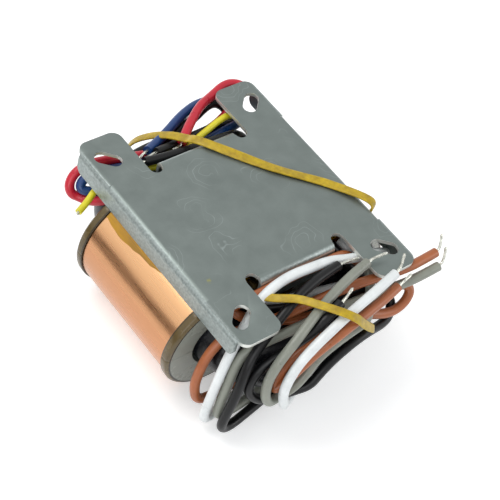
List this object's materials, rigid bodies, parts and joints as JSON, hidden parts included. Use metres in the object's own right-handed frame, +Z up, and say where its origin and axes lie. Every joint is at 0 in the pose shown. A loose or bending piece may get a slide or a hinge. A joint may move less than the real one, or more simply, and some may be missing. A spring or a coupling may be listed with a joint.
{
  "type": "r-core transformer",
  "caption": "R-core transformer: two foil-wrapped coils on a round-section core under a folded steel mounting bracket, with coloured leads tied up in rubber bands",
  "frame": {"origin": "on the standing surface, under the middle of the core", "axes": "+Z is up, out of the mounting face; +Y runs along the coils from the secondary lead end to the primary lead end; +X runs across the pair of coils"},
  "size_m": [0.083, 0.0944, 0.0446],
  "materials": {
    "zinc_plate": "satin",
    "core_varnish": "gloss",
    "bobbin_plastic": "gloss",
    "enamelled_wire": "satin",
    "amber_tape": "gloss",
    "copper_foil": "satin",
    "pad_rubber": "matte",
    "white_insulation": "satin",
    "grey_insulation": "satin",
    "brown_insulation": "satin",
    "black_insulation": "satin",
    "red_insulation": "satin",
    "blue_insulation": "satin",
    "yellow_insulation": "satin",
    "tinned_copper": "satin",
    "band_rubber": "satin"
  },
  "bodies": {
    "root": {"black_lead_end": "black_insulation", "bracket": "zinc_plate", "brown_lead_end": "brown_insulation", "brown_lead_front": "brown_insulation", "core": "core_varnish", "grey_lead_end": "grey_insulation", "grey_lead_front": "grey_insulation", "lead_band": "band_rubber", "left_adhesive_pad": "pad_rubber", "left_amber_tape": "amber_tape", "left_bobbin_lower_half": "bobbin_plastic", "left_bobbin_upper_half": "bobbin_plastic", "left_copper_foil": "copper_foil", "left_inner_insulation": "amber_tape", "left_outer_insulation": "amber_tape", "left_primary_exits": "red_insulation", "left_primary_winding": "enamelled_wire", "left_secondary_exits": "white_insulation", "left_secondary_winding": "enamelled_wire", "plate_band": "band_rubber", "primary_conductor_ends": "tinned_copper", "primary_hank": "black_insulation", "red_lead_loop": "red_insulation", "red_lead_side": "red_insulation", "right_adhesive_pad": "pad_rubber", "right_amber_tape": "amber_tape", "right_bobbin_lower_half": "bobbin_plastic", "right_bobbin_upper_half": "bobbin_plastic", "right_copper_foil": "copper_foil", "right_inner_insulation": "amber_tape", "right_outer_insulation": "amber_tape", "right_primary_exits": "blue_insulation", "right_primary_winding": "enamelled_wire", "right_secondary_exits": "brown_insulation", "right_secondary_winding": "enamelled_wire", "secondary_conductor_ends": "tinned_copper", "secondary_hank": "grey_insulation", "white_lead_front": "white_insulation", "yellow_lead_end": "yellow_insulation"}
  },
  "joints": []
}
